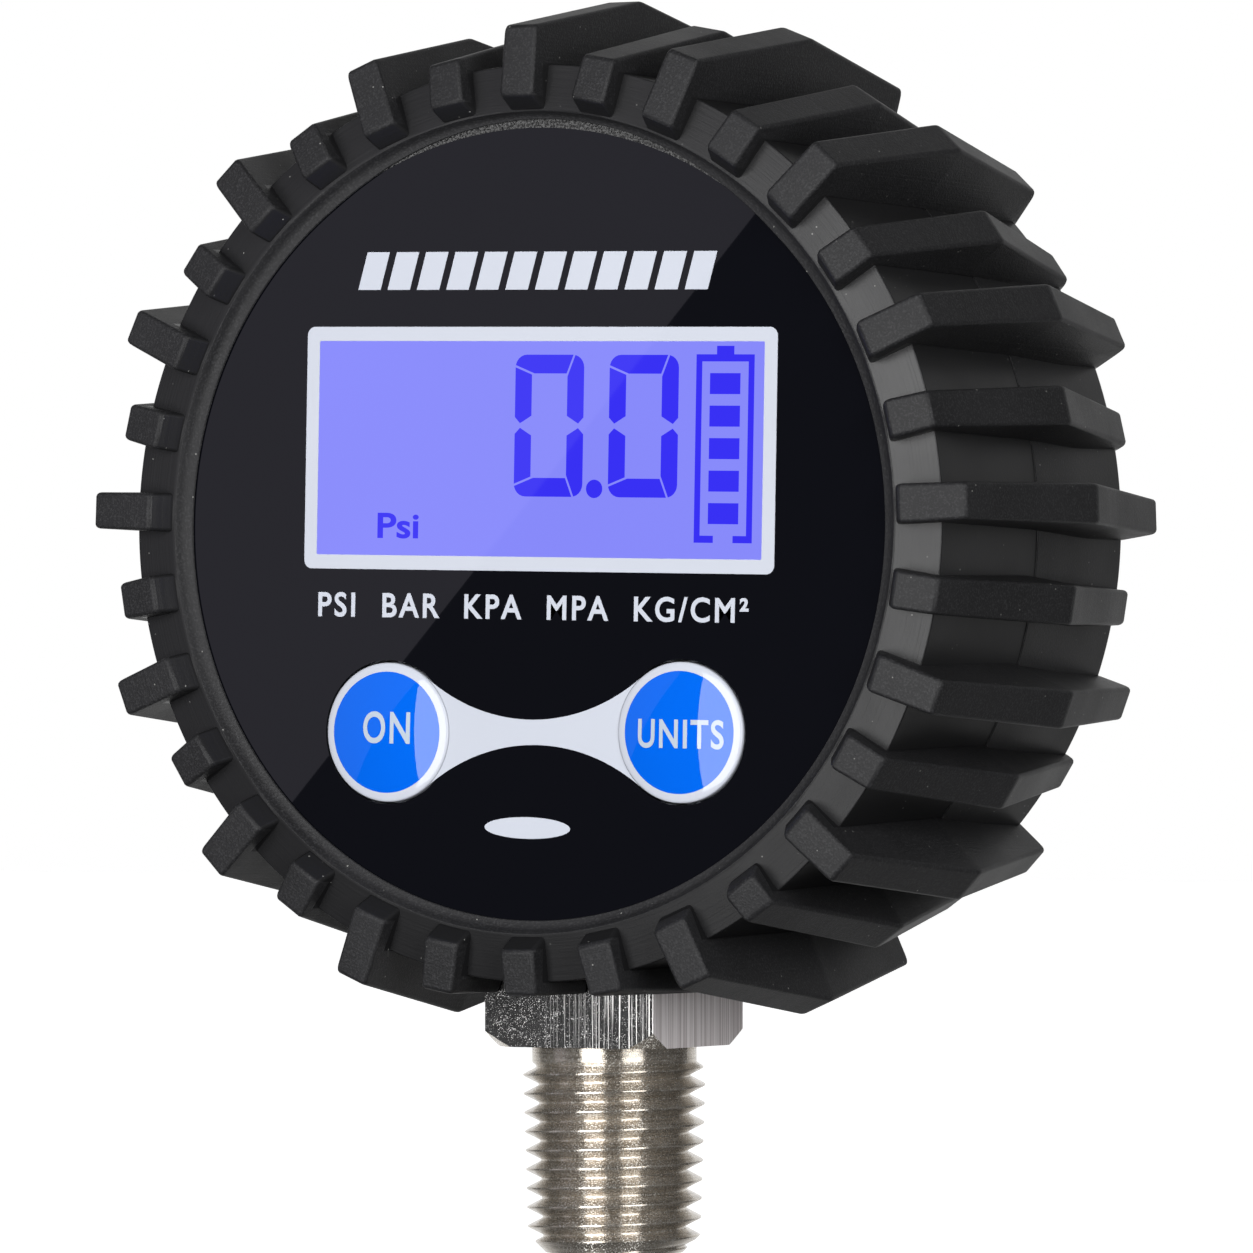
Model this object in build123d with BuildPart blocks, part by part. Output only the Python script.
from build123d import *
import math
import os

# A digital tire pressure gauge: a round case in a ribbed rubber boot, on a threaded bottom stem.
# The frame's origin is on the stem's axis, at the lower face of its square wrench block.
# +X is to the right as the dial is read, +Y goes from the dial to the back and +Z is up.

# --- Driving dimensions, in millimetres -------------------------------------------------------

DIAL_HEIGHT = 38.8  # dial's centre above the wrench block's lower face
FACE_FORWARD = 12.5  # dial's face ahead of the stem's axis

# Rubber boot
BOOT_RADIUS = 33.7
BOOT_BACK = 29.8
BOOT_LIP_RADIUS = 29.85
BOOT_BACK_OPENING = 28.9
LUG_COUNT = 32
LUG_WIDTH = 2.85
LUG_FRONT = -2.75
LUG_BACK = 30.3
LUG_MIDDLE = 14.1
LUG_GATHER = 2.0  # degrees by which the lugs crowd towards the top
TALL_LUG = (36.6, 39.3)  # radius at the ends, radius at the middle
SHORT_LUG = (34.6, 37.8)
STEM_TRIM_HALF_WIDTH = 9.4
STEM_TRIM_DROP = 34.75  # how far below the dial's centre the lugs are cut flat

# Case
CASE_RADIUS = 30.7
CASE_WALL = 1.8
CASE_BACK = 29.0
CASE_BACK_THICK = 2.4
BEZEL_FRONT = 0.8
BEZEL_BACK = 2.8
PANEL_RADIUS = 29.4
PANEL_GAP = 0.05
CASE_SCREWS = [(17.5, 19.2), (-17.5, 19.2), (21.8, -14.6), (-21.8, -14.6)]

# Display
LCD_X, LCD_Z = 0.3, 5.46
LCD_VIEW = (37.4, 15.9)
LCD_GLASS = (41.2, 19.8)
LCD_BACK = 3.05
HOLDER_SIZE = (42.0, 20.6)

# Buttons
BUTTON_X, BUTTON_Z = 12.3, -15.4
BUTTON_RADIUS = 5.15
BUTTON_RISE = 0.7
BUTTON_DOME_RADIUS = 24
BUTTON_FLANGE_RADIUS = 5.8
BUTTON_CLEARANCE = 0.2
PUSHER_RADIUS = 1.7
PUSHER_BACK = 4.2

# Circuit board
BOARD_FRONT = 8.6
BOARD_BACK = 10.2
BOARD_RADIUS = 28.2

# Battery bay, for two AAA cells
CELL_RADIUS = 5.25
CELL_LENGTH = 44.5
CELL_NUB = 0.8
CELL_PITCH = 10.9
CELL_DEPTH = 22.3
BAY_HALF_X, BAY_HALF_Z = 24.75, 10.9
BAY_FRONT = 16.9
BAY_WALL = 1.1
CONTACT_THICK = 0.4
DOOR_FRONT = 27.7
DOOR_HALF_X, DOOR_HALF_Z = 25.6, 11.7
DOOR_CORNER = 2.0
DOOR_TAB = (4.5, 17.6)  # half width, reach from the centre
DOOR_SCREW_Z = 14.7
DOOR_CLEARANCE = 0.2

# Stem, 1/4-18 NPT
BLOCK_WIDTH = 14.2  # for a 9/16 in wrench
BLOCK_TOP = 7.2
BLOCK_CONE = (8.65, 40)  # radius where the turned corners start, degrees from level
NECK_RADIUS = 6.25
NECK_TOP = 19.5
RELIEF_RADIUS = 6.15
THREAD_PITCH = 25.4 / 18
THREAD_TOP = -1.7
THREAD_END = -15.4
THREAD_MAJOR_RADIUS = 6.83  # at the top
THREAD_DEPTH = 0.8 * THREAD_PITCH
THREAD_TAPER = 1 / 32  # on the radius
END_CHAMFER = 1.2
PORT_RADIUS = 2.5
POCKET_RADIUS = 5.0
POCKET_FLOOR = 13.5
SEAT_INSIDE = 12.3  # the case's flat inside the stem's hole


# --- Planes and shapes used more than once ----------------------------------------------------


def dial_plane(depth, x=0.0, z=0.0):
    """A plane across the dial, behind its face by depth, whose normal points forward."""
    origin = (x, depth - FACE_FORWARD, DIAL_HEIGHT + z)
    return Plane(origin=origin, x_dir=(1, 0, 0), z_dir=(0, -1, 0))


def turning_plane(x=0.0, z=0.0):
    """A plane through a line square to the dial: its x is a radius and its y is a depth."""
    return Plane(origin=(x, -FACE_FORWARD, DIAL_HEIGHT + z), x_dir=(1, 0, 0), z_dir=(0, 0, 1))


def turning_axis(x=0.0, z=0.0):
    return Axis((x, -FACE_FORWARD, DIAL_HEIGHT + z), (0, 1, 0))


def box(low, high):
    """A block between two corners given as (x, depth, z) about the dial's centre."""
    width, depth, height = (high[i] - low[i] for i in range(3))
    middle = dial_plane(high[1], (low[0] + high[0]) / 2, (low[2] + high[2]) / 2)
    with BuildPart() as block:
        with BuildSketch(middle):
            Rectangle(width, height)
        extrude(amount=depth)
    return block.part


def tube(radius, front, back, x=0.0, z=0.0):
    """A round bar square to the dial."""
    with BuildPart() as bar:
        with BuildSketch(dial_plane(back, x, z)):
            Circle(radius)
        extrude(amount=back - front)
    return bar.part


def turned(points, x=0.0, z=0.0):
    """A solid turned about a line square to the dial, from (radius, depth) points."""
    with BuildPart() as solid:
        with BuildSketch(turning_plane(x, z)):
            with BuildLine():
                Polyline(*points, close=True)
            make_face()
        revolve(axis=turning_axis(x, z))
    return solid.part


def screw(x, z, head_radius, head_front, head_back, shank_radius, tip):
    """A cross-headed screw, driven from the back."""
    point = tip + shank_radius
    outline = [(0, tip), (shank_radius, point), (shank_radius, head_front), (head_radius, head_front)]
    outline += [(head_radius, head_back - 0.3), (head_radius - 0.4, head_back), (0, head_back)]
    slot_long, slot_wide, slot_depth = 1.3 * head_radius, 0.28 * head_radius, 0.55
    with BuildPart() as fastener:
        add(turned(outline, x, z))
        with BuildSketch(dial_plane(head_back, x, z)):
            Rectangle(slot_long, slot_wide)
            Rectangle(slot_wide, slot_long)
        extrude(amount=slot_depth, mode=Mode.SUBTRACT)
    return fastener.part


def save(piece, label):
    piece.part.label = label
    export_step(piece.part, f"parts/{label}.step")


os.makedirs("parts", exist_ok=True)

# --- Rubber boot ------------------------------------------------------------------------------


def lug_angle(index):
    """Angle of a lug from +X, in degrees: even steps from the top, crowded towards the top."""
    even = 90 - index * 360 / LUG_COUNT
    return even + LUG_GATHER * math.cos(math.radians(even))


def lug_points(end_radius, middle_radius):
    """A lug's outline along the boot, as (radius, depth) points."""
    front = [(31.2, 0.5), (30.35, -0.95), (31.45, LUG_FRONT), (end_radius, LUG_FRONT + 0.7)]
    return front + [(middle_radius, LUG_MIDDLE), (end_radius, LUG_BACK), (31.8, LUG_BACK), (31.8, 28.0)]


def boot_section():
    """Half of the boot's section: lip, outside, back flange and the pocket that the case fills."""
    outside = [(BOOT_LIP_RADIUS, -0.25), (30.25, -1.05), (33.4, -0.7), (BOOT_RADIUS, -0.35)]
    back = [(BOOT_RADIUS, BOOT_BACK - 0.4), (33.3, BOOT_BACK), (BOOT_BACK_OPENING, BOOT_BACK)]
    pocket = CASE_RADIUS + PANEL_GAP
    inside = [(BOOT_BACK_OPENING, 28.25), (pocket, 28.25), (pocket, -0.05), (BOOT_LIP_RADIUS, -0.05)]
    return outside + back + inside


with BuildPart() as rubber_boot:
    add(turned(boot_section()))
    for index in range(LUG_COUNT):
        angle = math.radians(lug_angle(index))
        outward = Vector(math.cos(angle), 0, math.sin(angle))
        across = outward.cross(Vector(0, 1, 0))
        lug_plane = Plane(origin=(0, -FACE_FORWARD, DIAL_HEIGHT), x_dir=outward, z_dir=across)
        tall = index % 2 == 0 and index != LUG_COUNT // 2
        with BuildSketch(lug_plane):
            with BuildLine():
                Polyline(*lug_points(*(TALL_LUG if tall else SHORT_LUG)), close=True)
            make_face()
    extrude(amount=LUG_WIDTH / 2, both=True)
    trim_low = (-STEM_TRIM_HALF_WIDTH, -5, -50)
    add(box(trim_low, (STEM_TRIM_HALF_WIDTH, 35, -STEM_TRIM_DROP)), mode=Mode.SUBTRACT)
    hole = BLOCK_WIDTH / 2 + 0.15
    hole_front, hole_back = FACE_FORWARD - hole, FACE_FORWARD + hole
    add(box((-hole, hole_front, -40), (hole, hole_back, -28)), mode=Mode.SUBTRACT)
save(rubber_boot, "rubber_boot")

# --- Case: rear case and front bezel ----------------------------------------------------------

inner_radius = CASE_RADIUS - CASE_WALL
back_inside = CASE_BACK - CASE_BACK_THICK
pillar_radius, pillar_front = 2.9, BOARD_BACK + 0.1
boss_radius = 2.4
case_screw_radius = 1.1
case_screw_seat = 27.2

with BuildPart() as rear_case:
    rebate = BOOT_BACK_OPENING - 0.1
    cup = [(inner_radius, BEZEL_BACK), (CASE_RADIUS, BEZEL_BACK), (CASE_RADIUS, 28.2), (rebate, 28.2)]
    cup += [(rebate, CASE_BACK), (0, CASE_BACK), (0, back_inside), (inner_radius, back_inside)]
    add(turned(cup))
    bay_x, bay_z = BAY_HALF_X + BAY_WALL, BAY_HALF_Z + BAY_WALL
    add(box((-bay_x, BAY_FRONT - BAY_WALL, -bay_z), (bay_x, back_inside + 0.2, bay_z)))
    for x, z in CASE_SCREWS:
        add(tube(pillar_radius, pillar_front, back_inside + 0.2, x, z))
    for z in (DOOR_SCREW_Z, -DOOR_SCREW_Z):
        add(tube(2.8, 20.6, back_inside + 0.2, 0, z))
    # The stem's seats: a square pad outside and a thick flat inside.
    pad = BLOCK_WIDTH / 2
    pad_bottom = BLOCK_TOP - DIAL_HEIGHT
    add(box((-pad, FACE_FORWARD - pad, pad_bottom), (pad, FACE_FORWARD + pad, -29.0)))
    seat_top = SEAT_INSIDE - DIAL_HEIGHT
    add(box((-9.6, FACE_FORWARD - 9.6, -28.9), (9.6, FACE_FORWARD + 9.6, seat_top)))
    with BuildSketch(Plane.XY.offset(BLOCK_TOP - 1)):
        Circle(NECK_RADIUS + 0.1)
    extrude(amount=8, mode=Mode.SUBTRACT)
    # The battery bay, open to the back, and the rebate that the door closes.
    add(box((-BAY_HALF_X, BAY_FRONT, -BAY_HALF_Z), (BAY_HALF_X, 30, BAY_HALF_Z)), mode=Mode.SUBTRACT)
    with BuildSketch(dial_plane(CASE_BACK)):
        gap = 2 * DOOR_CLEARANCE
        RectangleRounded(2 * DOOR_HALF_X + gap, 2 * DOOR_HALF_Z + gap, DOOR_CORNER)
        RectangleRounded(2 * DOOR_TAB[0] + gap, 2 * DOOR_TAB[1] + gap, DOOR_CORNER)
    extrude(amount=CASE_BACK - DOOR_FRONT, mode=Mode.SUBTRACT)
    for z in (DOOR_SCREW_Z, -DOOR_SCREW_Z):
        add(tube(1.05, 21.2, 30, 0, z), mode=Mode.SUBTRACT)
    for x, z in CASE_SCREWS:
        add(tube(case_screw_radius + 0.15, 5, 30, x, z), mode=Mode.SUBTRACT)
        add(tube(2.3, case_screw_seat, 30, x, z), mode=Mode.SUBTRACT)
    # Slots that let the two outer contacts' legs through to the board.
    for z in (CELL_PITCH / 2, -CELL_PITCH / 2):
        add(box((23.9, 15, z - 1.2), (BAY_HALF_X, 18, z + 1.2)), mode=Mode.SUBTRACT)
save(rear_case, "rear_case")

with BuildPart() as front_bezel:
    rim = PANEL_RADIUS + PANEL_GAP
    outline = [(0, BEZEL_FRONT), (rim, BEZEL_FRONT), (rim, 0), (CASE_RADIUS, 0), (CASE_RADIUS, BEZEL_BACK)]
    spigot = inner_radius - PANEL_GAP
    outline += [(spigot, BEZEL_BACK), (spigot, 5), (spigot - 1.2, 5), (spigot - 1.2, BEZEL_BACK)]
    add(turned(outline + [(0, BEZEL_BACK)]))
    for x, z in CASE_SCREWS:
        add(tube(boss_radius, BEZEL_BACK - 0.2, BOARD_FRONT, x, z))
    window_x, window_z = LCD_GLASS[0] / 2 + 0.2, LCD_GLASS[1] / 2 + 0.2
    low = (LCD_X - window_x, -1, LCD_Z - window_z)
    add(box(low, (LCD_X + window_x, 4, LCD_Z + window_z)), mode=Mode.SUBTRACT)
    for x in (BUTTON_X, -BUTTON_X):
        add(tube(BUTTON_RADIUS + BUTTON_CLEARANCE, -1, 4, x, BUTTON_Z), mode=Mode.SUBTRACT)
    for x, z in CASE_SCREWS:
        add(tube(case_screw_radius + 0.02, 3.4, 9, x, z), mode=Mode.SUBTRACT)
    # The spigot is left open round the stem's seat.
    add(box((-9.8, BEZEL_BACK, -30), (9.8, 6, seat_top + 0.2)), mode=Mode.SUBTRACT)
save(front_bezel, "front_bezel")

with BuildPart() as case_screws:
    for x, z in CASE_SCREWS:
        add(screw(x, z, 2.1, case_screw_seat, 28.7, case_screw_radius, 3.9))
save(case_screws, "case_screws")

# --- Dial face: printed panel and display -----------------------------------------------------

with BuildPart() as face_panel:
    with BuildSketch(dial_plane(BEZEL_FRONT)):
        Circle(PANEL_RADIUS)
        with Locations((LCD_X, LCD_Z)):
            Rectangle(LCD_VIEW[0] + 0.1, LCD_VIEW[1] + 0.1, mode=Mode.SUBTRACT)
        with Locations((BUTTON_X, BUTTON_Z), (-BUTTON_X, BUTTON_Z)):
            Circle(BUTTON_RADIUS + BUTTON_CLEARANCE, mode=Mode.SUBTRACT)
    extrude(amount=BEZEL_FRONT)
save(face_panel, "face_panel")

with BuildPart() as lcd_glass:
    with BuildSketch(dial_plane(LCD_BACK, LCD_X, LCD_Z)):
        Rectangle(*LCD_GLASS)
    extrude(amount=LCD_BACK - BEZEL_FRONT - PANEL_GAP)
    with BuildSketch(dial_plane(LCD_BACK, LCD_X, LCD_Z)):
        Rectangle(*LCD_VIEW)
    extrude(amount=LCD_BACK)
save(lcd_glass, "lcd_glass")

holder_front, holder_back = LCD_BACK + 0.05, BOARD_FRONT - 0.05
light_back, strip_offset, strip_width = 5.65, 9.05, 1.6

with BuildPart() as lcd_holder:
    half_x, half_z = HOLDER_SIZE[0] / 2, HOLDER_SIZE[1] / 2
    low = (LCD_X - half_x, holder_front, LCD_Z - half_z)
    add(box(low, (LCD_X + half_x, holder_back, LCD_Z + half_z)))
    for front, back in ((0, 5.9), (7.0, 10)):
        pocket_low = (LCD_X - 19.1, front, LCD_Z - 7.7)
        add(box(pocket_low, (LCD_X + 19.1, back, LCD_Z + 7.7)), mode=Mode.SUBTRACT)
    for side in (1, -1):
        slot_z = LCD_Z + side * strip_offset
        slot_low = (LCD_X - 18.2, 0, slot_z - strip_width / 2 - 0.1)
        slot_high = (LCD_X + 18.2, 10, slot_z + strip_width / 2 + 0.1)
        add(box(slot_low, slot_high), mode=Mode.SUBTRACT)
save(lcd_holder, "lcd_holder")

with BuildPart() as zebra_strips:
    for side in (1, -1):
        strip_z = LCD_Z + side * strip_offset
        strip_low = (LCD_X - 18, LCD_BACK, strip_z - strip_width / 2)
        add(box(strip_low, (LCD_X + 18, BOARD_FRONT, strip_z + strip_width / 2)))
save(zebra_strips, "zebra_strips")

with BuildPart() as backlight_panel:
    light_low = (LCD_X - 17.7, holder_front, LCD_Z - 7.6)
    add(box(light_low, (LCD_X + 19.0, light_back, LCD_Z + 7.6)))
save(backlight_panel, "backlight_panel")

with BuildPart() as backlight_leds:
    for z in (-4.5, 0, 4.5):
        led_low = (LCD_X - 19.0, 3.6, LCD_Z + z - 1.4)
        add(box(led_low, (LCD_X - 17.7, 5.4, LCD_Z + z + 1.4)))
save(backlight_leds, "backlight_leds")

with BuildPart() as backlight_reflector:
    film_low = (LCD_X - 19.0, light_back, LCD_Z - 7.6)
    add(box(film_low, (LCD_X + 19.0, light_back + 0.2, LCD_Z + 7.6)))
save(backlight_reflector, "backlight_reflector")

# --- Buttons and their switches ---------------------------------------------------------------

switch_front, switch_half = 5.0, 3.0
plunger_back, plunger_well = 5.4, 5.8


def dome_depth(radius):
    """Depth of a button's domed face at a distance from its centre."""
    return radius**2 / (2 * BUTTON_DOME_RADIUS) - BUTTON_RISE



for name, x in (("on", -BUTTON_X), ("units", BUTTON_X)):
    with BuildPart() as button:
        with BuildSketch(turning_plane(x, BUTTON_Z)):
            with BuildLine():
                crown = ThreePointArc(*[(r, dome_depth(r)) for r in (0, 2.4, 4.8)])
                shoulder = RadiusArc(crown @ 1, (BUTTON_RADIUS, 0.1), 0.5, short_sagitta=True)
                flange = BUTTON_FLANGE_RADIUS
                side = [shoulder @ 1, (BUTTON_RADIUS, 2.9), (flange, 2.9), (flange, 3.5)]
                Polyline(*side, (PUSHER_RADIUS, 3.5), (PUSHER_RADIUS, PUSHER_BACK), (0, PUSHER_BACK))
                Line((0, PUSHER_BACK), crown @ 0)
            make_face()
        revolve(axis=turning_axis(x, BUTTON_Z))
    save(button, f"{name}_button")

    with BuildPart() as plunger:
        add(tube(PUSHER_RADIUS, PUSHER_BACK, plunger_back, x, BUTTON_Z))
    save(plunger, f"{name}_switch_plunger")

    with BuildPart() as switch:
        with BuildSketch(dial_plane(BOARD_FRONT, x, BUTTON_Z)):
            Rectangle(2 * switch_half, 2 * switch_half)
        extrude(amount=BOARD_FRONT - switch_front)
        add(tube(PUSHER_RADIUS + 0.15, 4, plunger_well, x, BUTTON_Z), mode=Mode.SUBTRACT)
    save(switch, f"{name}_switch")

# --- Circuit board ----------------------------------------------------------------------------

notch_half, notch_top = 8.6, -17.5
seat_notch_half = 9.9

with BuildPart() as circuit_board:
    with BuildSketch(dial_plane(BOARD_BACK)):
        Circle(BOARD_RADIUS)
        with Locations((0, notch_top - 10)):
            Rectangle(2 * notch_half, 20, mode=Mode.SUBTRACT)
        with Locations((0, seat_top + 0.8 - 10)):
            Rectangle(2 * seat_notch_half, 20, mode=Mode.SUBTRACT)
        with Locations(*CASE_SCREWS):
            Circle(case_screw_radius + 0.2, mode=Mode.SUBTRACT)
    extrude(amount=BOARD_BACK - BOARD_FRONT)
save(circuit_board, "circuit_board")

with BuildPart() as controller_chip:
    add(box((-14, BOARD_BACK, 4), (-4, BOARD_BACK + 1.5, 14)))
save(controller_chip, "controller_chip")

with BuildPart() as board_components:
    for column in range(5):
        for row in range(2):
            x, z = 2.5 + 3.6 * column, 6 + 5.5 * row
            add(box((x, BOARD_BACK, z), (x + 2.0, BOARD_BACK + 0.8, z + 1.25)))
save(board_components, "board_components")

# --- Battery bay: cells, contacts, door -------------------------------------------------------


def cell_plane(x, z):
    """A plane across a cell, at x along it, whose normal points along +X."""
    origin = (x, CELL_DEPTH - FACE_FORWARD, DIAL_HEIGHT + z)
    return Plane(origin=origin, x_dir=(0, 1, 0), z_dir=(1, 0, 0))


wall_plate = BAY_HALF_X - CONTACT_THICK
nub_tip = wall_plate - 0.05

for name, side in (("upper", 1), ("lower", -1)):
    z = side * CELL_PITCH / 2
    with BuildPart() as cell:
        with BuildSketch(cell_plane(side * (nub_tip - CELL_LENGTH), z)):
            Circle(CELL_RADIUS)
        extrude(amount=side * (CELL_LENGTH - CELL_NUB))
        with BuildSketch(cell_plane(side * (nub_tip - CELL_NUB), z)):
            Circle(1.9)
        extrude(amount=side * CELL_NUB)
    save(cell, f"{name}_cell")

spring_wire, spring_radius, spring_pitch = 0.3, 3.0, 1.2

with BuildPart() as contact_springs:
    for side in (1, -1):
        z = side * CELL_PITCH / 2
        for turn in range(3):
            x = -side * (wall_plate - 0.6 - turn * spring_pitch)
            with BuildSketch(cell_plane(x, z)):
                Circle(spring_radius + spring_wire)
                Circle(spring_radius - spring_wire, mode=Mode.SUBTRACT)
            extrude(amount=spring_wire, both=True)
        bar_start = min(-side * wall_plate, -side * (wall_plate - 3.3))
        for offset in (spring_radius, -spring_radius):
            low = (bar_start, CELL_DEPTH + offset - spring_wire, z - spring_wire)
            high = (bar_start + 3.3, CELL_DEPTH + offset + spring_wire, z + spring_wire)
            add(box(low, high))
save(contact_springs, "contact_springs")

contact_front, contact_back = CELL_DEPTH - 4, CELL_DEPTH + 4

with BuildPart() as bridge_contact:
    reach = CELL_PITCH / 2 + 4
    add(box((-BAY_HALF_X, contact_front, -reach), (-wall_plate, contact_back, reach)))
save(bridge_contact, "bridge_contact")

for name, side in (("positive", 1), ("negative", -1)):
    z = side * CELL_PITCH / 2
    with BuildPart() as contact:
        add(box((wall_plate, contact_front, z - 4), (BAY_HALF_X, contact_back, z + 4)))
        add(box((wall_plate, BOARD_BACK, z - 1), (BAY_HALF_X, contact_front + 0.2, z + 1)))
    save(contact, f"{name}_contact")

with BuildPart() as battery_door:
    with BuildSketch(dial_plane(CASE_BACK)):
        RectangleRounded(2 * DOOR_HALF_X, 2 * DOOR_HALF_Z, DOOR_CORNER - DOOR_CLEARANCE)
        RectangleRounded(2 * DOOR_TAB[0], 2 * DOOR_TAB[1], DOOR_CORNER - DOOR_CLEARANCE)
    extrude(amount=CASE_BACK - DOOR_FRONT)
    for z in (DOOR_SCREW_Z, -DOOR_SCREW_Z):
        add(tube(1.15, 25, 30, 0, z), mode=Mode.SUBTRACT)
        add(tube(2.2, 28.15, 30, 0, z), mode=Mode.SUBTRACT)
save(battery_door, "battery_door")

with BuildPart() as door_screws:
    for z in (DOOR_SCREW_Z, -DOOR_SCREW_Z):
        add(screw(0, z, 2.1, 28.15, CASE_BACK, 1.0, 21.6))
save(door_screws, "door_screws")

# --- Stem, its fastening and the pressure sensor ----------------------------------------------


def thread_outline():
    """The tapered thread's edge from its top to the stem's end, as (radius, height) points."""
    points = []
    crest_z = THREAD_TOP - THREAD_PITCH / 2
    while crest_z > THREAD_END + END_CHAMFER:
        crest = THREAD_MAJOR_RADIUS - THREAD_TAPER * (THREAD_TOP - crest_z)
        root = crest - THREAD_DEPTH
        points += [(root, crest_z + THREAD_PITCH / 2), (crest, crest_z + 0.06), (crest, crest_z - 0.06)]
        last_root = (root, crest_z - THREAD_PITCH / 2)
        crest_z -= THREAD_PITCH
    return points + [last_root, (5.9, THREAD_END + 0.75), (5.15, THREAD_END)]


with BuildPart() as turned_blank:
    with BuildSketch(Plane.XZ):
        with BuildLine():
            cone_start, cone_angle = BLOCK_CONE
            cone_reach = 12.0
            rise = (cone_reach - cone_start) * math.tan(math.radians(cone_angle))
            edge = [(cone_start, 0), (cone_reach, rise), (cone_reach, BLOCK_TOP)]
            Polyline((0, 0), *edge, (0, BLOCK_TOP), close=True)
        make_face()
    revolve(axis=Axis.Z)

with BuildPart() as stem:
    with BuildSketch(Plane.XY):
        Rectangle(BLOCK_WIDTH, BLOCK_WIDTH)
    extrude(amount=BLOCK_TOP)
    # The block's lower corners are turned back to a cone.
    add(turned_blank.part, mode=Mode.INTERSECT)
    with BuildSketch(Plane.XZ):
        with BuildLine():
            relief = [(0, 0.5), (RELIEF_RADIUS, 0.5), (RELIEF_RADIUS, THREAD_TOP + 0.35)]
            Polyline(*relief, *thread_outline(), (0, THREAD_END), close=True)
        make_face()
    revolve(axis=Axis.Z)
    with BuildSketch(Plane.XY.offset(BLOCK_TOP - 0.5)):
        Circle(NECK_RADIUS)
    extrude(amount=NECK_TOP - BLOCK_TOP + 0.5)
    with BuildSketch(Plane.XY.offset(THREAD_END)):
        Circle(PORT_RADIUS)
    extrude(amount=POCKET_FLOOR - THREAD_END, mode=Mode.SUBTRACT)
    with BuildSketch(Plane.XY.offset(POCKET_FLOOR)):
        Circle(POCKET_RADIUS)
    extrude(amount=10, mode=Mode.SUBTRACT)
save(stem, "stem")

WASHER_RADIUS = 9.0
WASHER_THICK = 0.6
NUT_FLATS = 16.0
NUT_HEIGHT = 4.0

with BuildPart() as stem_washer:
    with BuildSketch(Plane.XY.offset(SEAT_INSIDE)):
        Circle(WASHER_RADIUS)
        Circle(NECK_RADIUS + 0.1, mode=Mode.SUBTRACT)
    extrude(amount=WASHER_THICK)
save(stem_washer, "stem_washer")

with BuildPart() as stem_nut:
    with BuildSketch(Plane.XY.offset(SEAT_INSIDE + WASHER_THICK)):
        RegularPolygon(NUT_FLATS / 2, 6, major_radius=False)
        Circle(NECK_RADIUS + 0.05, mode=Mode.SUBTRACT)
    extrude(amount=NUT_HEIGHT)
save(stem_nut, "stem_nut")

ORING_SECTION = 0.6
SENSOR_BOTTOM = POCKET_FLOOR + 2 * ORING_SECTION
SENSOR_TOP = SENSOR_BOTTOM + 3.0
STRIP_THICK = 0.3

with BuildPart() as sensor_oring:
    with BuildSketch(Plane.XZ):
        with Locations((4.0, POCKET_FLOOR + ORING_SECTION)):
            Circle(ORING_SECTION)
    revolve(axis=Axis.Z)
save(sensor_oring, "sensor_oring")

with BuildPart() as pressure_sensor:
    with BuildSketch(Plane.XY.offset(SENSOR_BOTTOM)):
        Circle(POCKET_RADIUS - 0.1)
    extrude(amount=SENSOR_TOP - SENSOR_BOTTOM)
    fillet(pressure_sensor.edges().group_by(Axis.Z)[-1], radius=0.4)
save(pressure_sensor, "pressure_sensor")

with BuildPart() as sensor_ring:
    with BuildSketch(Plane.XY.offset(SENSOR_TOP + 0.05)):
        Circle(POCKET_RADIUS - 0.05)
        Circle(2.6, mode=Mode.SUBTRACT)
    extrude(amount=NECK_TOP - SENSOR_TOP - 0.15)
    with BuildSketch(Plane.XY.offset(NECK_TOP - 0.1)):
        Rectangle(12, 1.2)
    extrude(amount=-0.8, mode=Mode.SUBTRACT)
save(sensor_ring, "sensor_ring")

with BuildPart() as sensor_flex:
    board_face = BOARD_BACK - FACE_FORWARD
    with BuildSketch(Plane.YZ.offset(-2)):
        with BuildLine():
            Polyline((0, SENSOR_TOP), (0, 21.4), (board_face + STRIP_THICK / 2, 23.4),
                     (board_face + STRIP_THICK / 2, 28.0))
        trace(line_width=STRIP_THICK)
    extrude(amount=4)
save(sensor_flex, "sensor_flex")
